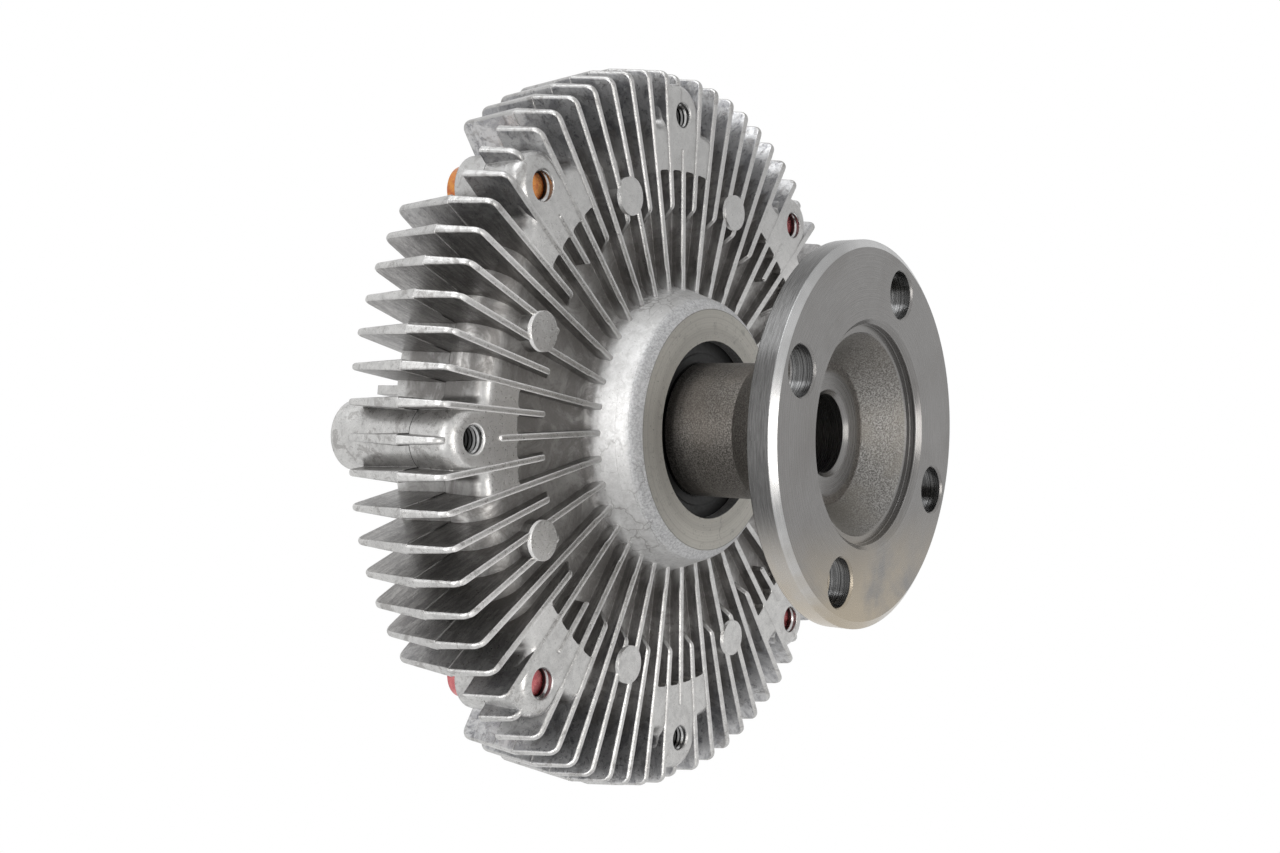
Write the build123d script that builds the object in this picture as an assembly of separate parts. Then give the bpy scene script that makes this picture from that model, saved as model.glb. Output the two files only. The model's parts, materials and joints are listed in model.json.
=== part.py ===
from build123d import *
import os
from math import hypot, radians, sin, sqrt, tan

# Viscous fan clutch. All sizes are in millimetres.
# The clutch turns about the Y axis. The origin is the centre of the drive
# flange's mating face, +Y runs forward through the clutch, and +Z is up.

# Drive flange
flange_r = 50.0
flange_depth = 7.0
flange_bevel = 1.3
flange_bevel_width = 2.0
flange_hole_circle_r = 40.0
flange_hole_r = 6.25
flange_hole_count = 4
flange_hole_start = 65.8
flange_hole_bevel = 0.5
pilot_r = 28.5
pilot_depth = 3.0
pilot_round = 1.3
recess_mouth_r = 26.4
recess_floor_r = 18.5
recess_depth = 12.8
shaft_bore_r = 10.4
shaft_bore_bevel = 1.1
shaft_bore_depth = 32.0

# Shaft
neck_r = 18.4
flare_r = 31.5
flare_end_y = 31.0
flare_root_round = 2.5
rotor_seat_r = 12.5
clip_groove_depth = 0.75
shaft_end_bevel = 0.5
bore_end_angle = 30

# Ball bearing
bearing_bore_r = 15.0
bearing_outer_r = 27.5
bearing_width = 13.0
bearing_y = 52.0
race_wall = 2.7
land_height = 1.0
ball_r = 3.4
ball_count = 11
ball_clearance = 0.03
cage_wall = 1.2
cage_width = 8.4
seal_depth = 1.0
seal_inset = 0.3
seal_seat = 0.6
seal_fold_share = 0.35

# Hub of the rear housing
lip_depth = 3.3
lip_opening_r = 24.5
lip_face_r = 33.2
hub_shoulder_r = 36.0
hub_shoulder_depth = 2.3
hub_shoulder_round = 4.0
hub_root_r = 40.0
hub_root_round = 2.5
bearing_boss_wall = 5.5
clip_thickness = 1.8
clip_seat = 1.4
clip_width = 4.0
clip_opening = 8.0
clip_lip = 2.2

# Castings
drum_r = 83.9
chamber_r = 77.5
parting_y = 71.3
rear_floor_y = 62.0
rear_wall = 4.5
rear_corner_round = 9.0
front_rim_y = 88.2
front_corner_round = 1.2
front_floor_y = 85.4
chamber_front_y = 81.5

# Fins
fin_count = 72
fin_rear_y = 58.2
fin_front_y = 90.4
fin_seam_r = 99.9
fin_end_r = 98.2
fin_corner_round = 3.0
rear_fin_seam_thickness = 2.4
front_fin_seam_thickness = 2.9
fin_edge_thickness = 1.5
fin_edge_round = 0.65
short_fin_r = 61.5
short_fin_slant = 4.0
short_fin_round = 2.0

# Bosses round the rim
boss_count = 8
boss_circle_r = 87.0
boss_r = 8.8
boss_face_y = 58.7
boss_shoulder = 3.5
boss_blend = 2.0
boss_land_x = 71.6
boss_land_corner = 1.3
boss_land_swell = 0.3
thread_hole_r = 3.4
thread_mouth_r = 3.9
fan_boss_front_y = 97.3
screw_boss_front_y = 80.1
boss_fin_end_r = 77.7
ridge_setback = 2.0

# Ejector pads between the bosses
pad_circle_r = 67.3
pad_r = 5.1
pad_height = 0.4

# Cover screws
screw_r = 4.0
screw_thread_clearance = 0.03
screw_mouth_bevel = 0.3
screw_head_r = 6.5
screw_head_height = 5.2
screw_head_bevel = 0.6
screw_socket = 5.0
screw_socket_depth = 2.8
screw_tip_depth = 2.8
screw_hole_clearance = 0.5
screw_pocket_clearance = 1.0

# Seal ring in the joint of the castings
joint_seal_r = 80.2
joint_seal_width = 1.8
joint_seal_depth = 1.5

# Rotor and the labyrinth
rotor_gap = 1.2
rotor_rear_gap = 0.8
rotor_web = 5.6
rotor_hub_wall = 5.0
rotor_hub_end_y = 77.0
ring_pitch = 6.0
ring_wall = 2.6
ring_count = 5
ring_end_gap = 1.0
web_hole_r = 3.0
web_hole_circle_r = 41.0
web_hole_count = 6
rotor_clip_thickness = 1.2
rotor_clip_width = 3.4
rotor_clip_opening = 14.0
shaft_end_stub = 1.2

# Reservoir, divider plate and valve
reservoir_r = 38.0
reservoir_front_y = 88.0
plate_r = 44.0
plate_thickness = 1.2
plate_seat_depth = 0.5
fill_hole_r = 3.0
fill_hole_circle_r = 31.0
plate_screw_circle_r = 41.0
plate_screw_count = 4
plate_screw_r = 1.25
plate_screw_head_r = 2.2
plate_screw_head_height = 1.2
plate_screw_length = 3.0
arm_width = 9.0
arm_thickness = 1.0
arm_lift = 0.4
valve_shaft_r = 3.0
valve_collar = 1.2
running_clearance = 0.03
valve_seal_r = 4.4
valve_seal_width = 2.2
valve_seal_inset = 1.6

# Front dome, bimetal coil and its bracket
dome_r = 40.0
dome_foot_r = 46.0
dome_face_y = 92.5
valve_boss_r = 9.0
valve_boss_height = 1.5
coil_lift = 1.0
coil_width = 9.0
coil_strip = 0.8
coil_inner_r = 4.6
coil_pitch = 3.2
coil_half_turns = 11
coil_slot_depth = 9.5
bracket_thickness = 1.5
bracket_width = 12.0
bracket_gap = 3.0
bracket_foot = 9.0
bracket_screw_setback = 5.4
bracket_screw_r = 1.5
bracket_screw_head_r = 2.6
bracket_screw_head_height = 1.6
bracket_screw_crown_r = 1.8
bracket_screw_length = 3.2
bracket_screw_spacing = 6.4

# Cast lug on the front rim
lug_angle = 172.3
lug_width = 2.3
lug_length = 5.0
lug_height = 6.2
lug_inset = 0.4

# Sizes that follow from those above
lip_face_y = bearing_y - lip_depth
bearing_front_y = bearing_y + bearing_width
bearing_mid_y = bearing_y + bearing_width / 2
inner_land_r = bearing_bore_r + race_wall + land_height
outer_land_r = bearing_outer_r - race_wall
ball_circle_r = (inner_land_r + outer_land_r) / 2
hub_shoulder_y = lip_face_y + hub_shoulder_depth
rear_inner_y = rear_floor_y + rear_wall
bearing_boss_r = bearing_outer_r + bearing_boss_wall
bearing_boss_y = bearing_front_y + clip_thickness + clip_lip
rotor_r = chamber_r - rotor_gap
rotor_rear_y = rear_inner_y + rotor_rear_gap
rotor_web_y = rotor_rear_y + rotor_web
rotor_hub_r = rotor_seat_r + rotor_hub_wall
shaft_end_y = rotor_hub_end_y + rotor_clip_thickness + shaft_end_stub
shaft_bore_y = recess_depth + shaft_bore_depth
plate_front_y = chamber_front_y + plate_seat_depth
plate_rear_y = plate_front_y - plate_thickness
arm_y = plate_front_y + arm_lift
valve_boss_y = dome_face_y + valve_boss_height
coil_y = valve_boss_y + coil_lift
valve_end_y = coil_y + coil_width
valve_bore_r = valve_shaft_r + running_clearance
valve_seal_y = reservoir_front_y + valve_seal_inset
coil_end_r = coil_inner_r + (coil_half_turns - 1) * coil_pitch / 2
bracket_x = coil_end_r + bracket_gap
bracket_screw_x = bracket_x + bracket_screw_setback
bracket_screw_end_y = dome_face_y + bracket_thickness - bracket_screw_length
screw_end_y = boss_face_y + screw_tip_depth
fin_step = 360 / fin_count
boss_step = 360 / boss_count


def turned(points, rounds=()):
    """Turn a closed outline of (radius, y) points about the Y axis."""
    profile = make_face(Polyline(*points, close=True))
    for corner, radius in rounds:
        nearest = profile.vertices().sort_by_distance(Vector(*corner))[0]
        profile = fillet(nearest, radius)
    return revolve(profile, Axis.Y)


def ring(inner_r, outer_r, start_y, end_y):
    """Plain ring of rectangular section."""
    return turned([(inner_r, start_y), (outer_r, start_y), (outer_r, end_y), (inner_r, end_y)])


def rod(radius, start_y, end_y, x=0.0, z=0.0):
    """Round bar along Y."""
    bar = extrude(Plane.XZ * Circle(radius), -(end_y - start_y))
    return Pos(x, start_y, z) * bar


def at_angle(angle, shape):
    """Turn a shape about Y, from +X towards +Z."""
    return Rot(0, -angle, 0) * shape


def around(shape, angles):
    """Copies of a shape at each angle about Y."""
    return [at_angle(angle, shape) for angle in angles]


def around_all(shapes, angle):
    """Turn every shape of a list to one angle."""
    return [at_angle(angle, shape) for shape in shapes]


def save(name, shape):
    """Write one node."""
    export_step(shape, f"parts/{name}.step")


def hex_prism(across_flats, start_y, end_y):
    """Hexagonal bar along Y."""
    prism = extrude(Plane.XZ * RegularPolygon(across_flats / sqrt(3), 6), -(end_y - start_y))
    return Pos(0, start_y, 0) * prism


def fin(outline, edge_y, seam_thickness, rounds=()):
    """One fin in the plane z = 0, drafted towards its free edge and rounded along it."""
    profile = make_face(Polyline(*outline, close=True))
    for corner, radius in rounds:
        nearest = profile.vertices().sort_by_distance(Vector(*corner))[0]
        profile = fillet(nearest, radius)
    blade = extrude(profile, seam_thickness, both=True)
    draft = make_face(Polyline(
        (parting_y, seam_thickness / 2),
        (edge_y, fin_edge_thickness / 2),
        (edge_y, -fin_edge_thickness / 2),
        (parting_y, -seam_thickness / 2),
        close=True,
    ))
    wedge = extrude(Plane.YZ * draft, 2 * fin_seam_r)
    blade = blade & wedge
    long_edges = blade.edges().filter_by(Axis.Z, reverse=True)
    free_edges = [edge for edge in long_edges if abs(edge.center().Y - parting_y) > fin_edge_round]
    return fillet(free_edges, fin_edge_round)


def rim_fins(edge_y, floor_y, hub_r, seam_thickness, skipped):
    """Long and short fins of one casting, without those at the skipped angles."""
    slant_r = short_fin_r - short_fin_slant
    corner = (fin_end_r, edge_y)
    inner_corner = (short_fin_r, edge_y)
    outer = [corner, (fin_seam_r, parting_y)]
    long_fin = fin([(hub_r, edge_y)] + outer + [(hub_r, parting_y)],
                   edge_y, seam_thickness, [(corner, fin_corner_round)])
    short_fin = fin([inner_corner] + outer + [(slant_r, parting_y), (slant_r, floor_y)],
                    edge_y, seam_thickness,
                    [(corner, fin_corner_round), (inner_corner, short_fin_round)])
    fins = []
    for index in range(fin_count):
        angle = index * fin_step
        if round(angle, 3) in skipped:
            continue
        fins.append(at_angle(angle, long_fin if index % 2 == 0 else short_fin))
    return fins


def drive_shaft():
    """Forged and turned shaft with the drive flange."""
    shaft = turned(
        [
            (0, 0),
            (flange_r - flange_bevel_width, 0),
            (flange_r, flange_bevel),
            (flange_r, flange_depth),
            (flare_r, flange_depth),
            (neck_r, flare_end_y),
            (neck_r, bearing_y),
            (bearing_bore_r, bearing_y),
            (bearing_bore_r, bearing_front_y),
            (rotor_seat_r, bearing_front_y),
            (rotor_seat_r, shaft_end_y - shaft_end_bevel),
            (rotor_seat_r - shaft_end_bevel, shaft_end_y),
            (0, shaft_end_y),
        ],
        [((flare_r, flange_depth), flare_root_round)],
    )
    bore_mouth_r = shaft_bore_r + shaft_bore_bevel
    recess = turned([
        (0, 0),
        (pilot_r + pilot_round, 0),
        (pilot_r, pilot_round),
        (pilot_r, pilot_depth),
        (recess_mouth_r, pilot_depth),
        (recess_floor_r, recess_depth),
        (bore_mouth_r, recess_depth),
        (shaft_bore_r, recess_depth + shaft_bore_bevel),
        (shaft_bore_r, shaft_bore_y),
        (0, shaft_bore_y + shaft_bore_r * tan(radians(bore_end_angle))),
    ])
    clip_groove = ring(rotor_seat_r - clip_groove_depth, rotor_hub_r,
                       rotor_hub_end_y, rotor_hub_end_y + rotor_clip_thickness)
    mouth_r = flange_hole_r + flange_hole_bevel
    hole = rod(flange_hole_r, 0, flange_depth) + turned([
        (0, 0), (mouth_r, 0), (flange_hole_r, flange_hole_bevel), (0, flange_hole_bevel)])
    spacing = 360 / flange_hole_count
    hole_angles = [flange_hole_start + spacing * index for index in range(flange_hole_count)]
    holes = around(Pos(flange_hole_circle_r, 0, 0) * hole, hole_angles)
    return shaft - [recess, clip_groove] - holes


def rotor():
    """Clutch disc: hub, web and the labyrinth rings on its front."""
    ring_tip_y = chamber_front_y - ring_end_gap
    disc = turned([
        (rotor_seat_r, bearing_front_y),
        (rotor_hub_r, bearing_front_y),
        (rotor_hub_r, bearing_boss_y + rotor_rear_gap),
        (bearing_boss_r + rotor_rear_gap, bearing_boss_y + rotor_rear_gap),
        (bearing_boss_r + rotor_rear_gap, rotor_rear_y),
        (rotor_r, rotor_rear_y),
        (rotor_r, rotor_web_y),
        (rotor_hub_r, rotor_web_y),
        (rotor_hub_r, rotor_hub_end_y),
        (rotor_seat_r, rotor_hub_end_y),
    ])
    for index in range(ring_count):
        outer_r = rotor_r - index * ring_pitch
        disc += ring(outer_r - ring_wall, outer_r, rotor_web_y, ring_tip_y)
    web_hole = rod(web_hole_r, rotor_rear_y, rotor_web_y, web_hole_circle_r)
    spacing = 360 / web_hole_count
    return disc - around(web_hole, [spacing * index for index in range(web_hole_count)])


def rotor_clip():
    """External retaining ring in front of the rotor's hub."""
    inner_r = rotor_seat_r - clip_groove_depth
    full = ring(inner_r, inner_r + rotor_clip_width, rotor_hub_end_y,
                rotor_hub_end_y + rotor_clip_thickness)
    opening = Pos(rotor_seat_r, rotor_hub_end_y, 0) * Box(
        4 * rotor_clip_width, 4 * rotor_clip_thickness, rotor_clip_opening)
    return full - opening


def bearing_races():
    """Inner and outer race with the ball track and the seats of the seals."""
    inner = ring(bearing_bore_r, inner_land_r, bearing_y, bearing_front_y)
    outer = ring(outer_land_r, bearing_outer_r, bearing_y, bearing_front_y)
    track_r = ball_r + ball_clearance
    track = Pos(0, bearing_mid_y, 0) * Rot(90, 0, 0) * Torus(ball_circle_r, track_r)
    for start_y in seal_starts():
        outer -= ring(ball_circle_r, outer_land_r + seal_seat, start_y, start_y + seal_depth)
    return inner - track, outer - track


def seal_starts():
    """Rear face of each bearing seal."""
    return [bearing_y + seal_inset, bearing_front_y - seal_inset - seal_depth]


def bearing_seal(start_y):
    """Rubber seal between the races, held in the outer one."""
    lip_r = inner_land_r + running_clearance
    fold_r = lip_r + (outer_land_r - lip_r) * seal_fold_share
    rim_r = outer_land_r + seal_seat
    inward = 1 if start_y < bearing_mid_y else -1
    face_y = start_y if inward > 0 else start_y + seal_depth
    step = inward * seal_depth / 2
    return turned([
        (lip_r, face_y + step / 2),
        (fold_r, face_y + step / 2),
        (fold_r + seal_depth / 2, face_y),
        (rim_r, face_y),
        (rim_r, face_y + 2 * step),
        (lip_r, face_y + 2 * step),
    ])


def bearing_balls():
    """The balls, as separate solids."""
    ball = Pos(ball_circle_r, bearing_mid_y, 0) * Sphere(ball_r)
    return Compound(children=around(ball, ball_angles()))


def ball_angles():
    """Angles of the balls in their cage."""
    return [360 / ball_count * index for index in range(ball_count)]


def bearing_cage():
    """Cage ring with one pocket for each ball."""
    band = ring(ball_circle_r - cage_wall / 2, ball_circle_r + cage_wall / 2,
                bearing_mid_y - cage_width / 2, bearing_mid_y + cage_width / 2)
    pocket = extrude(Plane.YZ * Circle(ball_r + ball_clearance), 2 * ball_circle_r)
    return band - around(Pos(0, bearing_mid_y, 0) * pocket, ball_angles())


def bearing_clip():
    """Internal retaining ring that keeps the bearing in the hub."""
    outer_r = bearing_outer_r + clip_seat
    full = ring(outer_r - clip_width, outer_r, bearing_front_y, bearing_front_y + clip_thickness)
    opening = Pos(bearing_outer_r, bearing_front_y, 0) * Box(
        4 * clip_width, 4 * clip_thickness, clip_opening)
    return full - opening


def boss_angles(first):
    """Every second boss, from the first given."""
    return [first + 2 * boss_step * index for index in range(boss_count // 2)]


def boss_land():
    """Barrel and flat land of one boss at angle 0, with round-cornered slots between the fins."""
    inner_x = boss_land_x - boss_land_corner
    far_x = drum_r + boss_r
    spread = tan(radians(2 * fin_step))
    sector = make_face(Polyline(
        (inner_x, -inner_x * spread),
        (inner_x, inner_x * spread),
        (far_x, far_x * spread),
        (far_x, -far_x * spread),
        close=True,
    ))
    rim_r = drum_r + boss_land_swell
    slot_width = 2 * boss_land_x * sin(radians(fin_step / 2)) - fin_edge_thickness
    slot_length = 4 * boss_land_corner
    slot = Pos(boss_land_x - slot_length / 2, 0) * Rectangle(slot_length, slot_width)
    slot = fillet(slot.vertices().sort_by(Axis.X)[-2:], boss_land_corner)
    slots = [Rot(0, 0, fin_step * gap) * slot for gap in (-1.5, -0.5, 0.5, 1.5)]
    reach = boss_r / 2
    barrel = Pos(boss_circle_r - reach / 2, 0) * SlotCenterToCenter(reach, 2 * boss_r)
    plan = (sector & Circle(rim_r)) - slots + barrel
    on_rim = [corner for corner in plan.vertices() if abs(Vector(corner).length - rim_r) < running_clearance]
    joins = sorted(on_rim, key=lambda corner: abs(corner.Y))[:2]
    plan = fillet(joins, boss_blend)
    land = extrude(Plane.XZ * plan, parting_y - boss_face_y)
    land = Pos(0, parting_y, 0) * land
    rear_edges = land.edges().group_by(Axis.Y)[0]
    outer_edges = [edge for edge in rear_edges if hypot(edge.center().X, edge.center().Z) > drum_r]
    return fillet(outer_edges, boss_shoulder)


def boss_fin(edge_y, inner_r, seam_thickness):
    """The fin on a boss's centre line: its inner part and the ridge outside the boss."""
    inner = fin(
        [(inner_r, edge_y), (boss_fin_end_r, edge_y), (boss_fin_end_r, parting_y), (inner_r, parting_y)],
        edge_y, seam_thickness,
    )
    start_y = edge_y + ridge_setback
    corner = (fin_end_r, start_y)
    ridge = fin(
        [(boss_circle_r, start_y), corner, (fin_seam_r, parting_y), (boss_circle_r, parting_y)],
        edge_y, seam_thickness, [(corner, fin_corner_round)],
    )
    return [inner, ridge]


def boss_hole(radius, bevel):
    """Hole through the rear boss at angle 0, with a bevelled mouth."""
    return Pos(boss_circle_r, 0, 0) * turned([
        (0, boss_face_y),
        (radius + bevel, boss_face_y),
        (radius, boss_face_y + bevel),
        (radius, parting_y),
        (0, parting_y),
    ])


def rear_housing():
    """Finned rear casting with the bearing hub."""
    body = turned(
        [
            (bearing_bore_r, lip_face_y),
            (lip_face_r, lip_face_y),
            (hub_shoulder_r, hub_shoulder_y),
            (hub_root_r, rear_floor_y),
            (drum_r, rear_floor_y),
            (drum_r, parting_y),
            (bearing_bore_r, parting_y),
        ],
        [
            ((hub_shoulder_r, hub_shoulder_y), hub_shoulder_round),
            ((hub_root_r, rear_floor_y), hub_root_round),
            ((drum_r, rear_floor_y), rear_corner_round),
        ],
    )
    bosses = [boss_step * index for index in range(boss_count)]
    lands = around(boss_land(), bosses)
    fins = rim_fins(fin_rear_y, rear_floor_y, lip_face_r, rear_fin_seam_thickness, bosses)
    for angle in bosses:
        long_fin = (angle / fin_step) % 2 == 0
        inner_r = lip_face_r if long_fin else short_fin_r
        fins += around_all(boss_fin(fin_rear_y, inner_r, rear_fin_seam_thickness), angle)
    pad = rod(pad_r, fin_rear_y - pad_height, rear_floor_y + rear_wall / 2, pad_circle_r)
    pads = around(pad, [boss_step * (index + 0.5) for index in range(boss_count)])
    casting = body + (lands + fins + pads)
    cavity = turned([
        (0, lip_face_y),
        (lip_opening_r, lip_face_y),
        (lip_opening_r, bearing_y),
        (bearing_outer_r, bearing_y),
        (bearing_outer_r, bearing_front_y),
        (bearing_outer_r + clip_seat, bearing_front_y),
        (bearing_outer_r + clip_seat, bearing_front_y + clip_thickness),
        (bearing_outer_r, bearing_front_y + clip_thickness),
        (bearing_outer_r, bearing_boss_y),
        (bearing_boss_r, bearing_boss_y),
        (bearing_boss_r, rear_inner_y),
        (chamber_r, rear_inner_y),
        (chamber_r, parting_y),
        (0, parting_y),
    ])
    fan_hole = boss_hole(thread_hole_r, thread_mouth_r - thread_hole_r)
    screw_hole = boss_hole(screw_r + screw_thread_clearance, screw_mouth_bevel)
    cuts = [cavity] + around(fan_hole, boss_angles(0)) + around(screw_hole, boss_angles(boss_step))
    return casting - cuts


def front_cover():
    """Finned front casting with the reservoir, the labyrinth and the valve's bore."""
    body = turned(
        [
            (0, parting_y),
            (drum_r, parting_y),
            (drum_r, front_rim_y),
            (dome_foot_r, front_floor_y),
            (dome_r, dome_face_y),
            (valve_boss_r, dome_face_y),
            (valve_boss_r, valve_boss_y),
            (0, valve_boss_y),
        ],
        [
            ((drum_r, front_rim_y), front_corner_round),
            ((dome_r, dome_face_y), front_corner_round),
        ],
    )
    screw_angles = boss_angles(boss_step)
    fan_angles = boss_angles(0)
    near_screws = [angle + offset for angle in screw_angles for offset in (-fin_step, 0, fin_step)]
    seam_thickness = front_fin_seam_thickness
    fins = rim_fins(fin_front_y, front_floor_y, dome_r, seam_thickness, near_screws)
    stub_r = drum_r - front_corner_round
    for angle in near_screws:
        long_fin = round(angle / fin_step) % 2 == 0
        inner_r = dome_r if long_fin else short_fin_r
        stub = fin([(inner_r, fin_front_y), (stub_r, fin_front_y), (stub_r, parting_y),
                    (inner_r, parting_y)], fin_front_y, seam_thickness)
        fins.append(at_angle(angle, stub))
    fan_bosses = around(rod(boss_r, parting_y, fan_boss_front_y, boss_circle_r), fan_angles)
    screw_bosses = around(rod(boss_r, parting_y, screw_boss_front_y, boss_circle_r), screw_angles)
    lug = Pos(drum_r - lug_inset - lug_length / 2, front_rim_y, 0) * Box(
        lug_length, 2 * lug_height, lug_width)
    casting = body + (fins + fan_bosses + screw_bosses + [at_angle(lug_angle, lug)])
    ring_tip_y = rotor_web_y + ring_end_gap
    cavity = turned([
        (0, parting_y),
        (chamber_r, parting_y),
        (chamber_r, chamber_front_y),
        (plate_r, chamber_front_y),
        (plate_r, plate_front_y),
        (reservoir_r, plate_front_y),
        (reservoir_r, reservoir_front_y),
        (valve_bore_r, reservoir_front_y),
        (valve_bore_r, valve_seal_y),
        (valve_seal_r, valve_seal_y),
        (valve_seal_r, valve_seal_y + valve_seal_width),
        (valve_bore_r, valve_seal_y + valve_seal_width),
        (valve_bore_r, valve_boss_y),
        (0, valve_boss_y),
    ])
    fan_hole = rod(thread_hole_r, parting_y, fan_boss_front_y, boss_circle_r)
    screw_hole = rod(screw_r + screw_hole_clearance, parting_y, screw_boss_front_y, boss_circle_r)
    pocket_r = screw_head_r + screw_pocket_clearance
    pocket = rod(pocket_r, screw_boss_front_y, fan_boss_front_y, boss_circle_r)
    cuts = [cavity, joint_seal()]
    cuts += around(fan_hole, fan_angles)
    cuts += around(screw_hole, screw_angles)
    cuts += around(pocket, screw_angles)
    cuts += plate_screw_holes()
    cuts += bracket_screw_holes()
    casting = casting - cuts
    for index in range(ring_count - 1):
        outer_r = rotor_r - index * ring_pitch - ring_pitch / 2
        casting += ring(outer_r - ring_wall, outer_r, ring_tip_y, chamber_front_y)
    return casting


def joint_seal():
    """Square-section seal ring in the cover's joint face."""
    half = joint_seal_width / 2
    return ring(joint_seal_r - half, joint_seal_r + half, parting_y, parting_y + joint_seal_depth)


def cover_screw():
    """Low-head socket screw at angle 0; its thread is drawn at its outer size."""
    head_y = screw_boss_front_y + screw_head_height
    screw = turned([
        (0, screw_end_y),
        (screw_r - screw_head_bevel, screw_end_y),
        (screw_r, screw_end_y + screw_head_bevel),
        (screw_r, screw_boss_front_y),
        (screw_head_r, screw_boss_front_y),
        (screw_head_r, head_y - screw_head_bevel),
        (screw_head_r - screw_head_bevel, head_y),
        (0, head_y),
    ])
    socket = hex_prism(screw_socket, head_y - screw_socket_depth, head_y)
    return Pos(boss_circle_r, 0, 0) * (screw - socket)


def plate_screw_angles():
    """Angles of the divider plate's screws, between the fill holes."""
    spacing = 360 / plate_screw_count
    return [spacing * (index + 0.5) for index in range(plate_screw_count)]


def plate_screw():
    """One screw of the divider plate at angle 0."""
    end_y = plate_rear_y + plate_screw_length
    shank = rod(plate_screw_r, plate_rear_y, end_y, plate_screw_circle_r)
    head_y = plate_rear_y - plate_screw_head_height
    head = rod(plate_screw_head_r, head_y, plate_rear_y, plate_screw_circle_r)
    return shank + head


def plate_screw_holes():
    """Holes for the plate's screws."""
    hole_r = plate_screw_r + running_clearance
    end_y = plate_rear_y + plate_screw_length + plate_thickness / 2
    hole = rod(hole_r, plate_rear_y, end_y, plate_screw_circle_r)
    return around(hole, plate_screw_angles())


def divider_plate():
    """Plate between the reservoir and the working chamber, with two fill holes."""
    fill_hole = rod(fill_hole_r, plate_rear_y, plate_front_y, fill_hole_circle_r)
    plate = ring(0, plate_r - running_clearance, plate_rear_y, plate_front_y)
    return plate - (around(fill_hole, [0, 180]) + plate_screw_holes())


def valve_arm():
    """Two-ended arm that covers both fill holes at rest."""
    length = 2 * (fill_hole_circle_r + fill_hole_r + arm_thickness)
    plan = SlotOverall(length, arm_width) - Circle(valve_shaft_r)
    return Pos(0, arm_y, 0) * extrude(Plane.XZ * plan, -arm_thickness)


def valve_shaft():
    """Shaft from the arm to the coil, with a collar behind the cover's bore."""
    shaft = rod(valve_shaft_r, arm_y, valve_end_y)
    collar_r = valve_shaft_r + valve_collar
    collar = rod(collar_r, arm_y + arm_thickness, reservoir_front_y - running_clearance)
    slot_y = valve_end_y - coil_slot_depth / 2
    slot = Pos(0, slot_y, 0) * Box(3 * valve_shaft_r, coil_slot_depth, coil_strip + 2 * running_clearance)
    return shaft + collar - slot


def valve_seal():
    """Seal ring round the valve shaft."""
    return ring(valve_bore_r, valve_seal_r, valve_seal_y, valve_seal_y + valve_seal_width)


def bimetal_coil():
    """Flat spiral spring of half turns, its tabs in the shaft's slot and the bracket's."""
    coil = Pos(coil_inner_r / 2, coil_y + coil_width / 2, 0) * Box(
        coil_inner_r + coil_strip, coil_width, coil_strip)
    for index in range(coil_half_turns):
        mean_r = coil_inner_r + index * coil_pitch / 2
        section = make_face(Polyline(
            (mean_r - coil_strip / 2, coil_y),
            (mean_r + coil_strip / 2, coil_y),
            (mean_r + coil_strip / 2, coil_y + coil_width),
            (mean_r - coil_strip / 2, coil_y + coil_width),
            close=True,
        ))
        upper = index % 2 == 0
        half = revolve(section, Axis.Y, -180 if upper else 180)
        shift = 0 if upper else coil_pitch / 2
        coil += Pos(shift, 0, 0) * half
    tab_length = bracket_x - coil_end_r + bracket_thickness / 2 + coil_strip
    tab_x = coil_end_r + tab_length / 2 - coil_strip / 2
    tab = Pos(-tab_x, coil_y + coil_width / 2, -coil_strip / 2) * Box(tab_length, coil_width, coil_strip)
    return coil + tab


def coil_bracket():
    """Bent bracket on the cover whose slot holds the coil's outer tab."""
    height = valve_end_y + bracket_thickness - dome_face_y
    upright = Pos(-bracket_x, dome_face_y + height / 2, 0) * Box(bracket_thickness, height, bracket_width)
    foot_x = bracket_x + bracket_foot / 2
    foot = Pos(-foot_x, dome_face_y + bracket_thickness / 2, 0) * Box(
        bracket_foot, bracket_thickness, bracket_width)
    slot_width = coil_strip + 2 * running_clearance
    slot_height = dome_face_y + height - coil_y + running_clearance
    slot_y = coil_y - running_clearance + slot_height / 2
    slot = Pos(-bracket_x, slot_y, -coil_strip / 2) * Box(2 * bracket_thickness, slot_height, slot_width)
    return upright + foot - (slot + bracket_screw_holes())


def bracket_screw_places():
    """The two screws side by side on the bracket's foot."""
    offset = bracket_screw_spacing / 2
    return [Pos(-bracket_screw_x, 0, offset), Pos(-bracket_screw_x, 0, -offset)]


def bracket_screw_holes():
    """Holes for the bracket's screws, through its foot and into the cover."""
    hole = rod(bracket_screw_r + running_clearance, bracket_screw_end_y - running_clearance,
               dome_face_y + bracket_thickness)
    return [place * hole for place in bracket_screw_places()]


def bracket_screw():
    """One round-headed screw of the bracket."""
    seat_y = dome_face_y + bracket_thickness
    head_y = seat_y + bracket_screw_head_height
    return turned([
        (0, bracket_screw_end_y),
        (bracket_screw_r, bracket_screw_end_y),
        (bracket_screw_r, seat_y),
        (bracket_screw_head_r, seat_y),
        (bracket_screw_head_r, head_y - bracket_screw_head_height / 2),
        (bracket_screw_crown_r, head_y),
        (0, head_y),
    ])


os.makedirs("parts", exist_ok=True)

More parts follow.
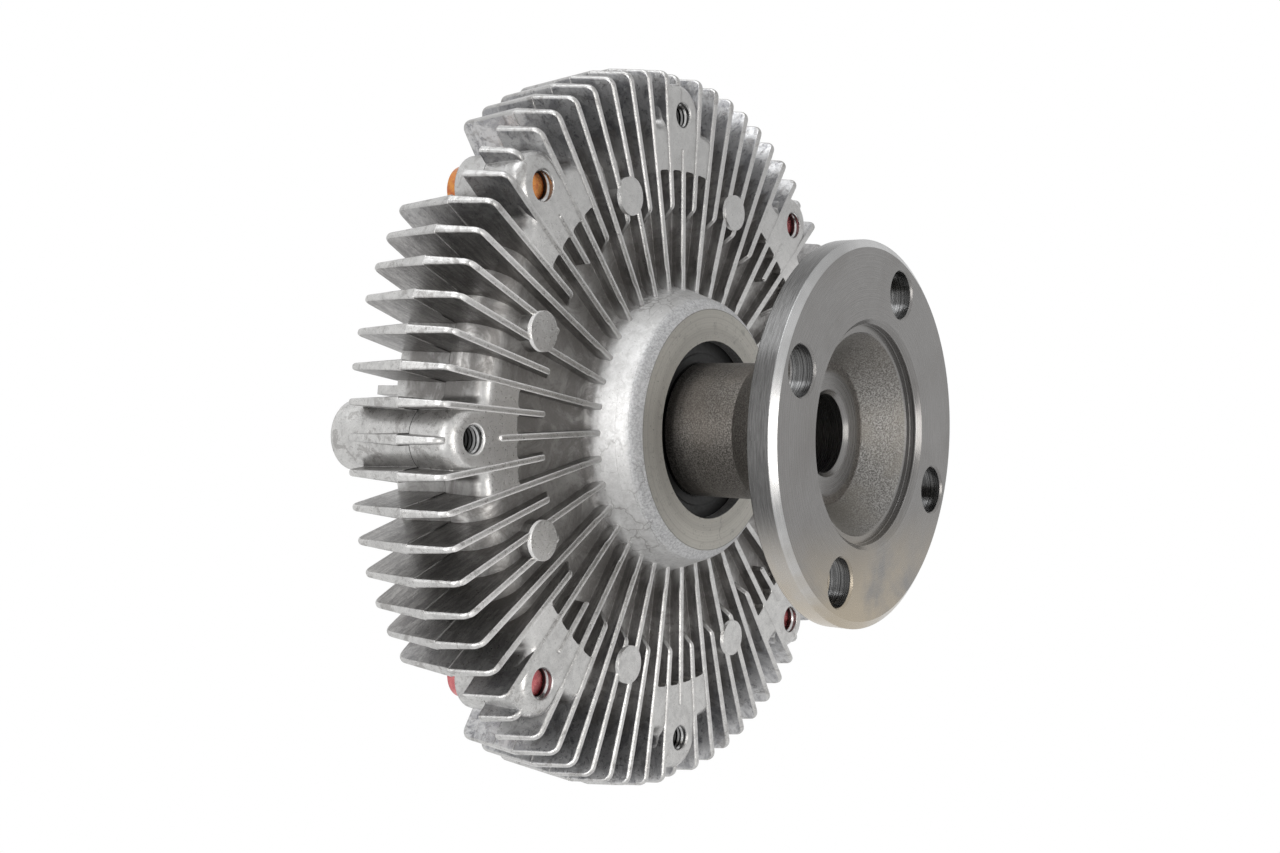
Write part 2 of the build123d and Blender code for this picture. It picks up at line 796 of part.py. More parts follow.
save("drive_shaft", drive_shaft())
save("rotor", rotor())
save("rotor_retaining_ring", rotor_clip())
inner_race, outer_race = bearing_races()
save("bearing_inner_race", inner_race)
save("bearing_outer_race", outer_race)
save("bearing_balls", bearing_balls())
save("bearing_cage", bearing_cage())
rear_seal_y, front_seal_y = seal_starts()
save("bearing_rear_seal", bearing_seal(rear_seal_y))
save("bearing_front_seal", bearing_seal(front_seal_y))
save("bearing_retaining_ring", bearing_clip())
save("rear_housing", rear_housing())
save("front_cover", front_cover())
save("joint_seal_ring", joint_seal())
for number, angle in enumerate(boss_angles(boss_step), start=1):
    save(f"cover_screw_{number}", at_angle(angle, cover_screw()))
save("divider_plate", divider_plate())
save("divider_screws", Compound(children=around(plate_screw(), plate_screw_angles())))
save("valve_arm", valve_arm())
save("valve_shaft", valve_shaft())
save("valve_shaft_seal", valve_seal())
save("bimetal_coil", bimetal_coil())
save("coil_bracket", coil_bracket())
save("bracket_screws", Compound(children=[place * bracket_screw() for place in bracket_screw_places()]))
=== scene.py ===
import json
import math

import bpy
from mathutils import Matrix, Vector


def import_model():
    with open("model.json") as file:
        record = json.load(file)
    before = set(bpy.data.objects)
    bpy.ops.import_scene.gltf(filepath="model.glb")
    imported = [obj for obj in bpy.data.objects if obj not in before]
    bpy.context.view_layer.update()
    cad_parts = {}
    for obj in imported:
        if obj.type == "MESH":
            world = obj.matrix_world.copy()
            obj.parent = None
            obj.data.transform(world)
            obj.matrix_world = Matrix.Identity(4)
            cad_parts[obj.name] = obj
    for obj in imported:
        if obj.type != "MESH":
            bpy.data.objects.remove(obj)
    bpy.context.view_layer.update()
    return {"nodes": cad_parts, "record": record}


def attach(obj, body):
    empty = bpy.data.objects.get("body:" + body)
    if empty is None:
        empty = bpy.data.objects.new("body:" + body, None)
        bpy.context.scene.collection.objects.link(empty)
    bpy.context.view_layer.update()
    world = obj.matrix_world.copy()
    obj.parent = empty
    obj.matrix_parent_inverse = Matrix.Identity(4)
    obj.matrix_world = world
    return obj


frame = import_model()

MM = 0.001

# Camera of the picture: 1280 by 853 pixels, 36 mm wide sensor
CAMERA_PLACE = Vector((-356.67, -180.78, 16.40)) * MM
CAMERA_AZIMUTH = math.radians(-54.543)
CAMERA_ELEVATION = math.radians(2.1065)
CAMERA_ROLL = math.radians(0.2529)
CAMERA_LENS = 43.29
SENSOR_WIDTH = 36.0
NEAR_CLIP = 0.01

# Stage: places and sizes in metres
FLOOR_HEIGHT = -0.30
FLOOR_SIZE = 12.0
FLOOR_GREY = 0.8
AMBIENT = 0.35
LAMP_AIM = Vector((0, 0.05, 0))

# Each lamp's place, width and height in metres, its watts and its tint
LAMPS = {
    "left_lamp": ((-1.05, 0.05, 0.12), 0.45, 0.8, 6.6, (1.0, 1.0, 1.0)),
    "front_lamp": ((-0.25, -1.05, -0.10), 0.45, 0.6, 4.5, (1.0, 0.975, 0.94)),
    "top_lamp": ((-0.45, 0.20, 1.0), 0.8, 0.8, 6.8, (0.97, 0.985, 1.0)),
    "low_lamp": ((-0.30, -0.35, -0.95), 0.7, 0.7, 6.2, (1.0, 0.955, 0.90)),
}

# Sizes of the object that the looks follow, in metres
FLANGE_R = 50.0 * MM
FLANGE_DEPTH = 7.0 * MM
BEVEL_WIDTH = 2.0 * MM
BEVEL_DEPTH = 1.3 * MM
RECESS_START = 3.2 * MM
RECESS_FLOOR = 12.7 * MM
RECESS_R = 27.0 * MM
HUB_FACE = 48.7 * MM
HUB_FRONT = 62.0 * MM
HUB_ROOT_R = 40.0 * MM
RING_R = 33.2 * MM
HUB_CRACKS = (51.4 * MM, 54.6 * MM)
PARTING = 71.3 * MM
DRUM_R = 83.9 * MM
FRONT_FLOOR = 85.4 * MM
FIN_REAR = 58.2 * MM
BEARING_REAR = 52.0 * MM

# Tapped holes in the bosses, M8 by 1.25
BOSS_COUNT = 8
BOSS_CIRCLE_R = 87.0 * MM
BOSS_FACE = 58.7 * MM
FAN_BOSSES = 4
FAN_BOSS_STEP = math.radians(90)
SCREW_BOSS_SHIFT = math.radians(45)
FAN_BOSS_FRONT = 97.3 * MM
FAN_HOLE_R = 3.4 * MM
FAN_CREST_R = FAN_HOLE_R - 0.4 * MM
SCREW_HOLE_R = 4.03 * MM
SCREW_CREST_R = SCREW_HOLE_R - 0.6 * MM
SCREW_END = 61.5 * MM
ROSY_SCREWS = ("cover_screw_1", "cover_screw_3", "cover_screw_4")

# Threads: THREAD_ROOT and THREAD_CREST are a ridge's half widths in pitches, THREAD_STEPS counts per turn,
# and THREAD_RUN_IN is the part of a turn in which the ridge rises or falls
THREAD_PITCH = 1.25 * MM
THREAD_START = BOSS_FACE + 0.7 * MM
FAN_THREAD_END = FAN_BOSS_FRONT - 0.9 * MM
SCREW_THREAD_END = SCREW_END - 0.5 * MM
THREAD_BED = 0.05 * MM
THREAD_ROOT = 0.44
THREAD_CREST = 0.08
THREAD_STEPS = 36
THREAD_RUN_IN = 0.4

# Zones of the castings' looks: where each one begins, and where it is full
FIN_EDGE_Y = (FIN_REAR + 0.85 * MM, FIN_REAR + 0.60 * MM)
FIN_EDGE_R = (HUB_ROOT_R + 4 * MM, HUB_ROOT_R + 6 * MM)
# Painted shade on the fins' edges towards the top
EDGE_SHADE_Z = (30 * MM, 70 * MM)
# Painted light on the fins' edges at the left and right, near mid-height
EDGE_LIGHT_X = (48 * MM, 70 * MM)
EDGE_LIGHT_Z = (55 * MM, 40 * MM)
# Painted light on the fins' flanks towards the top and the bottom
FLANK_LIGHT_Z = (40 * MM, 72 * MM)
HUB_ZONE_R = (HUB_ROOT_R + 6 * MM, HUB_ROOT_R - 1 * MM)
HUB_ZONE_Y = (HUB_FRONT + 1 * MM, HUB_FRONT)
SHOULDER_Y = (HUB_FACE + 4.6 * MM, HUB_FACE + 2.6 * MM)
HUB_CRACK_GAP = (0.09 * MM, 0.0)
RING_ZONE_Y = (HUB_FACE + 0.08 * MM, HUB_FACE + 0.02 * MM)
RING_LINE_GAP = (0.30 * MM, 0.08 * MM)
STAIN_R = (88 * MM, 93 * MM)
JOINT_GAP = (0.18 * MM, 0.06 * MM)
JOINT_R = (DRUM_R - 3 * MM, DRUM_R - 1 * MM)
INWARD_R = (93 * MM, 88 * MM)
NEAR_BOSS = (13 * MM, 12 * MM)
DRUM_ZONE_R = (DRUM_R + 1.5 * MM, DRUM_R + 0.5 * MM)
DRUM_REAR_Y = (FIN_REAR + 1.5 * MM, FIN_REAR + 3 * MM)
DRUM_FRONT_Y = (FRONT_FLOOR - 0.4 * MM, FRONT_FLOOR - 1.9 * MM)
# Painted shade down the bosses' holes
BORE_ZONE_R = (4.4 * MM, 4.2 * MM)
BORE_ZONE_Y = (BOSS_FACE + 0.6 * MM, BOSS_FACE + 4.5 * MM)

# Zones of the steel's looks, in the same way
# Painted shade on the outer rim
RIM_ZONE_R = (FLANGE_R - 0.6 * MM, FLANGE_R - 0.2 * MM)
# Painted light on the lower part of the rim
RIM_LIGHT_Z = (-14 * MM, -34 * MM)
# Painted highlight along the bevel
BEVEL_ZONE_R = (FLANGE_R - BEVEL_WIDTH - 0.1 * MM, FLANGE_R - BEVEL_WIDTH + 0.1 * MM)
BEVEL_ZONE_Y = (BEVEL_DEPTH + 0.2 * MM, BEVEL_DEPTH)
LOW_WARM_Z = (-18 * MM, -48 * MM)
HOLE_REAR_Y = (0.5 * MM, 0.7 * MM)
HOLE_FRONT_Y = (FLANGE_DEPTH - 0.5 * MM, FLANGE_DEPTH - 0.7 * MM)
HOLE_INNER_R = (30 * MM, 31 * MM)
HOLE_OUTER_R = (48 * MM, 47.5 * MM)
RECESS_REAR_Y = (RECESS_START, RECESS_START + 0.3 * MM)
RECESS_FRONT_Y = (RECESS_FLOOR, RECESS_FLOOR - 0.3 * MM)
RECESS_ZONE_R = (RECESS_R, RECESS_R - 0.5 * MM)
# Painted shade on the top of the recess
RECESS_SHADE_Z = (4 * MM, 22 * MM)
NECK_ZONE_Y = (FLANGE_DEPTH + 0.2 * MM, FLANGE_DEPTH + 1.0 * MM)
NECK_ZONE_R = (15.5 * MM, 17.0 * MM)
# Painted shade at the races' rear ends
RACE_SHADE_Y = (BEARING_REAR + 1.2 * MM, BEARING_REAR + 0.6 * MM)

# Widths, pitches and depths of small marks, in metres
SHOULDER_WANDER = 1.6 * MM
CRACK_WANDER = 0.5 * MM
JOINT_WANDER = 0.7 * MM
RING_PITCH = 0.5 * MM
FLANGE_PITCH = 0.35 * MM
CAST_EDGE = 0.25 * MM
STEEL_EDGE = 0.35 * MM
SMALL_EDGE = 0.25 * MM
THREAD_EDGE = 0.1 * MM
PIT_DEPTH = 0.14 * MM
STREAK_DEPTH = 0.05 * MM
FLECK_DEPTH = 0.05 * MM
MARK_DEPTH = 0.015 * MM
BRUSH_DEPTH = 0.006 * MM
BLAST_DEPTH = 0.12 * MM
GRAIN_DEPTH = 0.02 * MM

# Tones of the materials in linear red, green and blue, set on renders
TONES = {
    "edge": (0.56, 0.555, 0.545),
    "edge dull": (0.46, 0.457, 0.45),
    "edge smudge": (0.35, 0.345, 0.34),
    "edge painted shade": (0.33, 0.328, 0.325),
    "edge painted light": (0.80, 0.79, 0.78),
    "flank": (0.35, 0.34, 0.33),
    "flank streak": (0.20, 0.193, 0.19),
    "flank smudge": (0.12, 0.113, 0.112),
    "flank_painted_light": (0.54, 0.54, 0.545),
    "flank painted light dull": (0.33, 0.332, 0.345),
    "flank painted light spot": (0.17, 0.172, 0.185),
    "fleck": (0.16, 0.158, 0.16),
    "speck": (0.12, 0.115, 0.11),
    "hub": (0.62, 0.617, 0.612),
    "hub dull": (0.51, 0.506, 0.50),
    "rubbed": (0.50, 0.50, 0.505),
    "rubbed dull": (0.34, 0.34, 0.345),
    "crack": (0.17, 0.16, 0.15),
    "ring": (0.72, 0.70, 0.645),
    "ring dull": (0.60, 0.58, 0.535),
    "ring spot": (0.27, 0.26, 0.24),
    "ring line": (0.10, 0.098, 0.095),
    "stain": (0.19, 0.18, 0.172),
    "joint painted highlight": (0.66, 0.655, 0.65),
    "joint dark": (0.02, 0.02, 0.02),
    "drum stain and shade": (0.20, 0.19, 0.183),
    "bore shade": (0.02, 0.02, 0.02),
    "satin": (0.175, 0.170, 0.166),
    "satin light": (0.225, 0.220, 0.216),
    "satin brushed": (0.29, 0.285, 0.28),
    "satin haze": (0.15, 0.143, 0.137),
    "rim": (0.055, 0.055, 0.055),
    "rim light": (0.11, 0.11, 0.11),
    "rim painted light": (0.50, 0.48, 0.455),
    "bevel_highlight": (0.50, 0.50, 0.50),
    "bevel highlight dull": (0.34, 0.34, 0.34),
    "low_warm_tone": (0.43, 0.365, 0.27),
    "hole": (0.05, 0.05, 0.05),
    "hole light": (0.22, 0.22, 0.22),
    "blasted": (0.12, 0.115, 0.108),
    "blasted light": (0.32, 0.313, 0.302),
    "blasted warm": (0.21, 0.195, 0.17),
    "recess painted shade": (0.10, 0.088, 0.074),
    "crust": (0.06, 0.055, 0.05),
    "crust light": (0.20, 0.187, 0.172),
    "crust warm": (0.15, 0.132, 0.115),
    "ground": (0.55, 0.55, 0.55),
    "ground dull": (0.48, 0.48, 0.48),
    "race shade": (0.012, 0.012, 0.012),
    "thread": (0.60, 0.60, 0.60),
    "thread dull": (0.42, 0.42, 0.42),
    "thread shade": (0.03, 0.03, 0.03),
    "rubber": (0.008, 0.008, 0.008),
    "rubber light": (0.014, 0.014, 0.014),
    "spring": (0.16, 0.16, 0.16),
    "spring dull": (0.10, 0.10, 0.10),
    "plate": (0.46, 0.46, 0.46),
    "plate dull": (0.38, 0.38, 0.38),
    "brass": (0.60, 0.44, 0.20),
    "brass dull": (0.50, 0.36, 0.16),
    "zinc": (0.62, 0.27, 0.08),
    "zinc dull": (0.42, 0.13, 0.06),
    "rosy": (0.60, 0.20, 0.20),
    "rosy dull": (0.42, 0.10, 0.12),
    "bimetal": (0.52, 0.49, 0.44),
    "bimetal dull": (0.40, 0.37, 0.33),
}


class Graph:
    """A material's node tree with short calls for the nodes that the looks use."""

    def __init__(self, name):
        self.material = bpy.data.materials.new(name)
        self.material.use_nodes = True
        self.tree = self.material.node_tree
        self.shader = self.tree.nodes["Principled BSDF"]
        self.position = self.add("ShaderNodeTexCoord").outputs["Object"]

    def add(self, kind, **settings):
        node = self.tree.nodes.new(kind)
        for key, value in settings.items():
            setattr(node, key, value)
        return node

    def put(self, socket, value):
        """Links an output to a socket, or sets the socket's own value."""
        if isinstance(value, bpy.types.NodeSocket):
            self.tree.links.new(value, socket)
        else:
            socket.default_value = value

    def math(self, operation, *values):
        node = self.add("ShaderNodeMath", operation=operation)
        for socket, value in zip(node.inputs, values):
            self.put(socket, value)
        return node.outputs[0]

    def plus(self, first, second):
        return self.math("ADD", first, second)

    def minus(self, first, second):
        return self.math("SUBTRACT", first, second)

    def times(self, first, second):
        return self.math("MULTIPLY", first, second)

    def gap(self, first, second):
        """Distance between two values."""
        return self.math("ABSOLUTE", self.minus(first, second))

    def noise(self, scale, detail, rough, vector=None, distortion=0.0):
        """Noise between 0 and 1 whose scale counts its lumps per metre, or per unit of the vector."""
        node = self.add("ShaderNodeTexNoise")
        self.put(node.inputs["Vector"], vector or self.position)
        node.inputs["Scale"].default_value = scale
        node.inputs["Detail"].default_value = detail
        node.inputs["Roughness"].default_value = rough
        node.inputs["Distortion"].default_value = distortion
        return node.outputs["Fac"]

    def cracks(self, scale, wander):
        """Distance to the borders of wandering cells, in cell widths."""
        bend = self.add("ShaderNodeTexNoise")
        self.put(bend.inputs["Vector"], self.position)
        bend.inputs["Scale"].default_value = 2.5 * scale
        shift = self.vector("SCALE", bend.outputs["Color"], wander / scale)
        node = self.add("ShaderNodeTexVoronoi", feature="DISTANCE_TO_EDGE")
        self.put(node.inputs["Vector"], self.vector("ADD", self.position, shift))
        node.inputs["Scale"].default_value = scale
        return node.outputs["Distance"]

    def vector(self, operation, first, second=None):
        node = self.add("ShaderNodeVectorMath", operation=operation)
        self.put(node.inputs[0], first)
        if second is not None:
            self.put(node.inputs["Scale"] if operation == "SCALE" else node.inputs[1], second)
        return node.outputs["Value"] if operation == "DOT_PRODUCT" else node.outputs["Vector"]

    def join(self, x, y, z=0.0):
        node = self.add("ShaderNodeCombineXYZ")
        for socket, value in zip(node.inputs, (x, y, z)):
            self.put(socket, value)
        return node.outputs[0]

    def split(self):
        node = self.add("ShaderNodeSeparateXYZ")
        self.put(node.inputs[0], self.position)
        return node.outputs[0], node.outputs[1], node.outputs[2]

    def ramp(self, value, low, high, start=0.0, end=1.0):
        """Smooth step of value between low and high, from start to end."""
        node = self.add("ShaderNodeMapRange", interpolation_type="SMOOTHSTEP")
        for key, item in (("Value", value), ("From Min", low), ("From Max", high),
                          ("To Min", start), ("To Max", end)):
            self.put(node.inputs[key], item)
        return node.outputs["Result"]

    def mix(self, share, first, second):
        """Mixes two tones, each a name in TONES or a socket."""
        node = self.add("ShaderNodeMix", data_type="RGBA")
        self.put(node.inputs["Factor"], share)
        for key, tone in (("A", first), ("B", second)):
            self.put(node.inputs[key], (*TONES[tone], 1.0) if isinstance(tone, str) else tone)
        return node.outputs["Result"]

    def mix_vectors(self, share, first, second):
        node = self.add("ShaderNodeMix", data_type="VECTOR")
        self.put(node.inputs["Factor"], share)
        ends = {socket.identifier: socket for socket in [*node.inputs, *node.outputs]}
        self.put(ends["A_Vector"], first)
        self.put(ends["B_Vector"], second)
        return ends["Result_Vector"]

    def axis_radius(self):
        """Distance from the clutch's axis."""
        x, _, z = self.split()
        return self.math("SQRT", self.plus(self.times(x, x), self.times(z, z)))

    def turn(self):
        """Angle round the axis, in radians."""
        x, _, z = self.split()
        return self.math("ARCTAN2", z, x)

    def facing_round(self):
        """How far the surface looks along its way round the axis, as a fin's flank does."""
        x, _, z = self.split()
        way = self.vector("NORMALIZE", self.join(self.times(z, -1.0), 0.0, x))
        normal = self.add("ShaderNodeTexCoord").outputs["Normal"]
        return self.math("ABSOLUTE", self.vector("DOT_PRODUCT", normal, way))

    def off_boss(self):
        """Distance from the axis of the nearest boss."""
        radius = self.axis_radius()
        angle = self.math("PINGPONG", self.turn(), math.pi / BOSS_COUNT)
        outward = self.minus(self.times(radius, self.math("COSINE", angle)), BOSS_CIRCLE_R)
        aside = self.times(radius, self.math("SINE", angle))
        return self.math("SQRT", self.plus(self.times(outward, outward), self.times(aside, aside)))

    def painted_shade_down_bore(self):
        """Share of painted shade in a boss's hole: 0 at its mouth and 1 a few millimetres down it."""
        _, y, _ = self.split()
        return self.times(self.ramp(self.off_boss(), *BORE_ZONE_R), self.ramp(y, *BORE_ZONE_Y))

    def streaks(self, outward, along, around):
        """Place for a noise that is drawn out by its counts per metre outward and along, and per radian."""
        _, y, _ = self.split()
        return self.join(self.times(self.axis_radius(), outward), self.times(y, along),
                         self.times(self.turn(), around))

    def turned_marks(self, pitch):
        """Noise that is constant along each circle round the axis, as a lathe tool leaves it."""
        _, y, _ = self.split()
        return self.noise(1 / pitch, 2, 0.6, self.join(self.axis_radius(), y))

    def bump(self, height, depth, strength, normal=None):
        node = self.add("ShaderNodeBump")
        self.put(node.inputs["Height"], height)
        node.inputs["Distance"].default_value = depth
        node.inputs["Strength"].default_value = strength
        if normal is not None:
            self.put(node.inputs["Normal"], normal)
        return node.outputs["Normal"]

    def round_edges(self, radius):
        """Normal that turns smoothly over edges within the radius."""
        node = self.add("ShaderNodeBevel", samples=4)
        node.inputs["Radius"].default_value = radius
        return node.outputs["Normal"]

    def finish(self, **sockets):
        for name, value in sockets.items():
            self.put(self.shader.inputs[name.replace("_", " ")], value)
        return self.material


class Casting(Graph):
    """Die-cast skin of both castings, whose looks share their zones and noises."""

    def __init__(self):
        super().__init__("cast_aluminium")
        self.radius = self.axis_radius()
        self.x, self.y, self.z = self.split()
        self.fleck = self.noise(1500, 4, 0.75, distortion=0.4)
        self.mottle = self.noise(420, 5, 0.75, distortion=0.6)
        self.flow = self.noise(1, 4, 0.7, self.streaks(160, 900, 14), distortion=0.5)
        self.smudge = self.noise(110, 5, 0.7, distortion=1.0)
        self.on_edge = self.times(self.ramp(self.y, *FIN_EDGE_Y), self.ramp(self.radius, *FIN_EDGE_R))
        self.on_hub = self.times(self.ramp(self.radius, *HUB_ZONE_R), self.ramp(self.y, *HUB_ZONE_Y))
        self.on_ring = self.times(self.on_hub, self.ramp(self.y, *RING_ZONE_Y))
        drum = self.times(self.ramp(self.radius, *DRUM_ZONE_R), self.ramp(self.y, *DRUM_REAR_Y))
        self.on_drum = self.times(drum, self.ramp(self.y, *DRUM_FRONT_Y))

    def edge_tone(self):
        """Pale satin of the fins' rear edges, with painted shade towards the top and painted light at both
        sides.
        """
        tone = self.mix(self.ramp(self.mottle, 0.40, 0.66), "edge", "edge dull")
        tone = self.mix(self.ramp(self.smudge, 0.46, 0.68, 0.0, 0.5), tone, "edge smudge")
        # Painted shade: the edges darken towards the top
        tone = self.mix(self.ramp(self.z, *EDGE_SHADE_Z, 0.0, 0.6), tone, "edge painted shade")
        # Painted light: the edges lighten at the left and right, near mid-height
        side_light_share = self.times(self.ramp(self.math("ABSOLUTE", self.x), *EDGE_LIGHT_X), self.on_edge)
        level = self.ramp(self.math("ABSOLUTE", self.z), *EDGE_LIGHT_Z, 0.0, 0.7)
        return self.mix(self.times(side_light_share, level), tone, "edge painted light")

    def flank_tone(self):
        """Streaky flanks of the fins, with a painted light, spotted copy towards the top and the bottom."""
        tone = self.mix(self.ramp(self.flow, 0.38, 0.60), "flank", "flank streak")
        tone = self.mix(self.times(self.ramp(self.smudge, 0.50, 0.64), 0.55), tone, "flank smudge")
        # Painted light: a lighter, spotted copy of the flank for the fins near the top and the bottom
        painted_light_tone = self.mix(self.ramp(self.smudge, 0.46, 0.60), "flank_painted_light", "flank painted light dull")
        painted_light_tone = self.mix(self.ramp(self.mottle, 0.54, 0.64, 0.0, 0.8), painted_light_tone, "flank painted light spot")
        flank_painted_light = self.ramp(self.math("ABSOLUTE", self.z), *FLANK_LIGHT_Z)
        return self.mix(self.times(flank_painted_light, 0.85), tone, painted_light_tone)

    def hub_tone(self):
        """Bright hub with a rubbed shoulder next to its face."""
        tone = self.mix(self.ramp(self.mottle, 0.35, 0.65), "hub", "hub dull")
        shoulder = self.ramp(self.plus(self.y, self.times(self.smudge, SHOULDER_WANDER)), *SHOULDER_Y)
        rubbed = self.mix(self.ramp(self.fleck, 0.40, 0.60), "rubbed", "rubbed dull")
        return self.mix(self.times(shoulder, 0.85), tone, rubbed)

    def hub_crazing(self):
        """Net of fine cracks on the hub, and longer ones round it at the places of HUB_CRACKS."""
        crack = self.times(self.ramp(self.cracks(170, 0.5), 0.045, 0.0),
                           self.ramp(self.noise(60, 2, 0.5), 0.48, 0.60))
        place = self.plus(self.y, self.times(self.minus(self.mottle, 0.5), CRACK_WANDER))
        for ring in HUB_CRACKS:
            line = self.times(self.ramp(self.gap(place, ring), *HUB_CRACK_GAP),
                              self.ramp(self.noise(90, 2, 0.5), 0.42, 0.56))
            crack = self.math("MAXIMUM", crack, line)
        return self.times(crack, self.on_hub)

    def ring_tone(self):
        """Warm turned ring on the hub's face, with a dark line round it."""
        tone = self.mix(self.ramp(self.turned_marks(RING_PITCH), 0.3, 0.7), "ring", "ring dull")
        tone = self.mix(self.ramp(self.mottle, 0.55, 0.72, 0.0, 0.45), tone, "ring spot")
        line = self.ramp(self.gap(self.radius, RING_R), *RING_LINE_GAP, 0.0, 0.6)
        return self.mix(line, tone, "ring line")

    def outer_stains(self):
        """Worn spots on the outer ends of fins and bosses."""
        spots = self.ramp(self.noise(260, 5, 0.8, distortion=0.8), 0.53, 0.60)
        return self.times(spots, self.ramp(self.radius, *STAIN_R))

    def with_joint(self, tone):
        """Adds the castings' joint, dark on the drum and the bosses, with a painted highlight along it on
        the fins' ends.
        """
        wander = self.times(self.minus(self.noise(180, 3, 0.7), 0.5), JOINT_WANDER)
        joint = self.times(self.ramp(self.gap(self.plus(self.y, wander), PARTING), *JOINT_GAP),
                           self.ramp(self.radius, *JOINT_R))
        inward = self.math("MAXIMUM", self.ramp(self.off_boss(), *NEAR_BOSS),
                           self.ramp(self.radius, *INWARD_R))
        share = self.times(joint, self.ramp(inward, 0.0, 1.0, 0.5, 0.85))
        # Painted highlight: the joint is light on the fins' ends, away from the drum and the bosses
        return self.mix(share, tone, self.mix(inward, "joint painted highlight", "joint dark"))

    def tone(self):
        """The fins first, and the hub, its ring, the specks, stains, joint, the drum's stains and painted
        shade, and the painted shade in the bores over them.
        """
        flank = self.times(self.ramp(self.facing_round(), 0.93, 0.985), self.minus(1.0, self.on_edge))
        tone = self.mix(flank, self.edge_tone(), self.flank_tone())
        tone = self.mix(self.ramp(self.fleck, 0.50, 0.68, 0.0, 0.16), tone, "fleck")
        tone = self.mix(self.on_hub, tone, self.hub_tone())
        tone = self.mix(self.times(self.hub_crazing(), 0.5), tone, "crack")
        tone = self.mix(self.on_ring, tone, self.ring_tone())
        speck = self.ramp(self.noise(1900, 2, 0.5), 0.66, 0.74)
        tone = self.mix(self.times(speck, 0.45), tone, "speck")
        tone = self.mix(self.times(self.outer_stains(), 0.5), tone, "stain")
        tone = self.with_joint(tone)
        # Darker mottled patches on the drum wall between the fins: stains with painted shade of the
        # channels
        stain = self.times(self.on_drum, self.ramp(self.smudge, 0.38, 0.56, 0.35, 0.8))
        tone = self.mix(stain, tone, "drum stain and shade")
        # Painted shade down the bosses' holes
        return self.mix(self.painted_shade_down_bore(), tone, "bore shade")

    def roughness(self):
        """Satin, duller on the hub, its ring and the drum."""
        rough = self.plus(self.ramp(self.fleck, 0.35, 0.65, 0.27, 0.41), self.times(self.on_hub, 0.19))
        rough = self.plus(rough, self.times(self.on_ring, 0.12))
        return self.plus(rough, self.times(self.on_drum, self.ramp(self.smudge, 0.35, 0.60, 0.02, 0.20)))

    def relief(self):
        """Pitted and streaked skin over soft edges; the fins' rear edges are half levelled."""
        rounded = self.round_edges(CAST_EDGE)
        level = self.mix_vectors(self.times(self.on_edge, 0.5), rounded, (0, -1, 0))
        pitted = self.bump(self.mottle, PIT_DEPTH, 0.7, self.vector("NORMALIZE", level))
        streaked = self.bump(self.flow, STREAK_DEPTH, 0.5, pitted)
        return self.bump(self.fleck, FLECK_DEPTH, 0.6, streaked)


